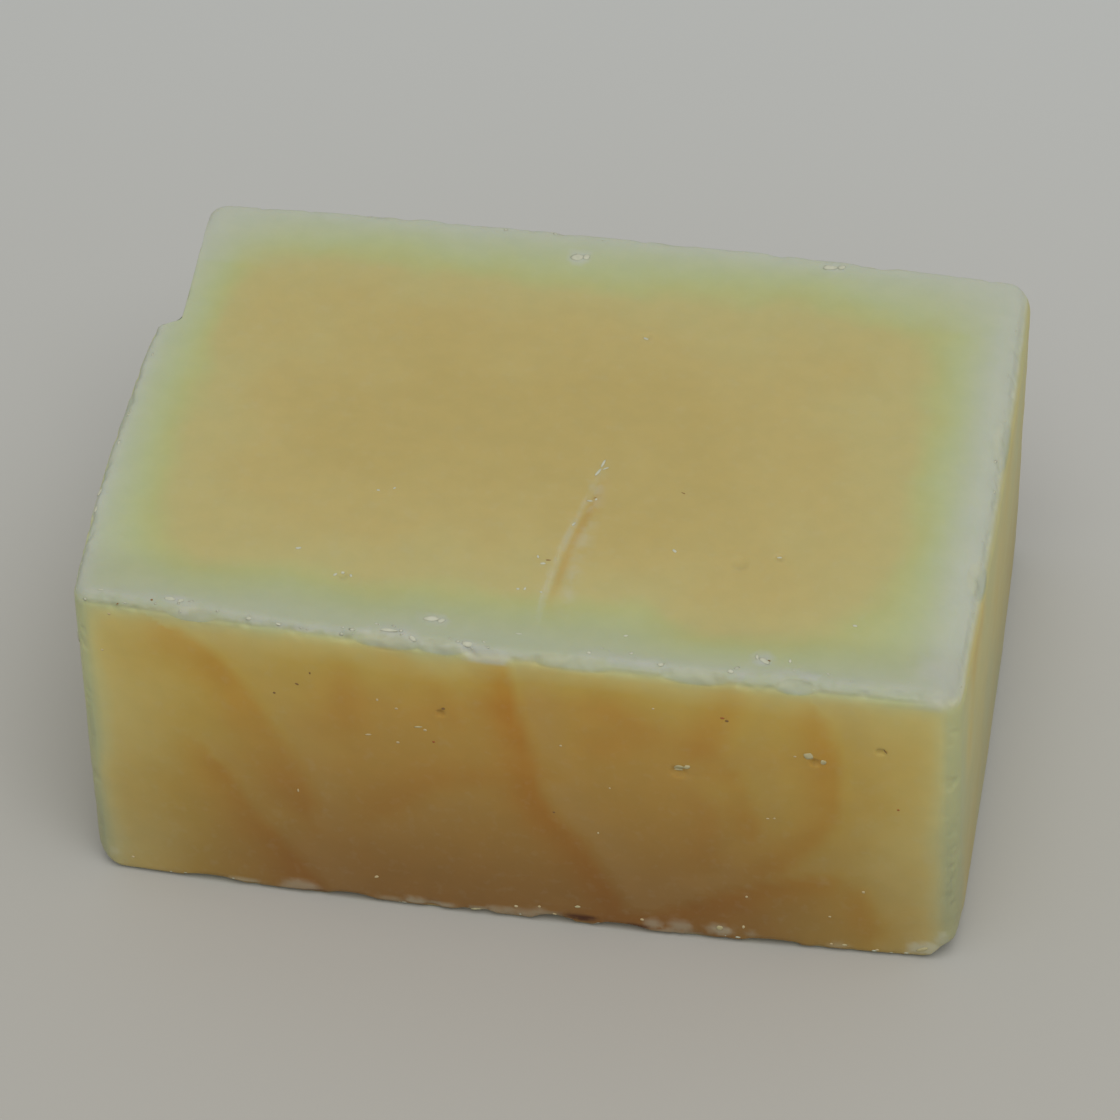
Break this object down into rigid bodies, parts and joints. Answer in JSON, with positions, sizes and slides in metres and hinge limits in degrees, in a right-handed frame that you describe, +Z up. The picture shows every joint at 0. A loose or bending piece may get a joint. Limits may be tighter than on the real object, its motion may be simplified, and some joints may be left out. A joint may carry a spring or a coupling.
{
  "type": "bar of soap",
  "caption": "Hand-cut block of plain soap with bowed sides, rounded edges, a shear step, a shallow gouge and small chips",
  "frame": {"origin": "middle of the bar's outer box in plan, on the surface that the bar stands on", "axes": "+X to the right along the bar's length, +Y from its front to its back, +Z up"},
  "size_m": [0.0818, 0.058, 0.035],
  "materials": {
    "soap": "dry waxy amber soap, paler and greener towards its edges, with a whitish bloom along them"
  },
  "bodies": {
    "root": {"soap_bar": "soap"}
  },
  "joints": []
}
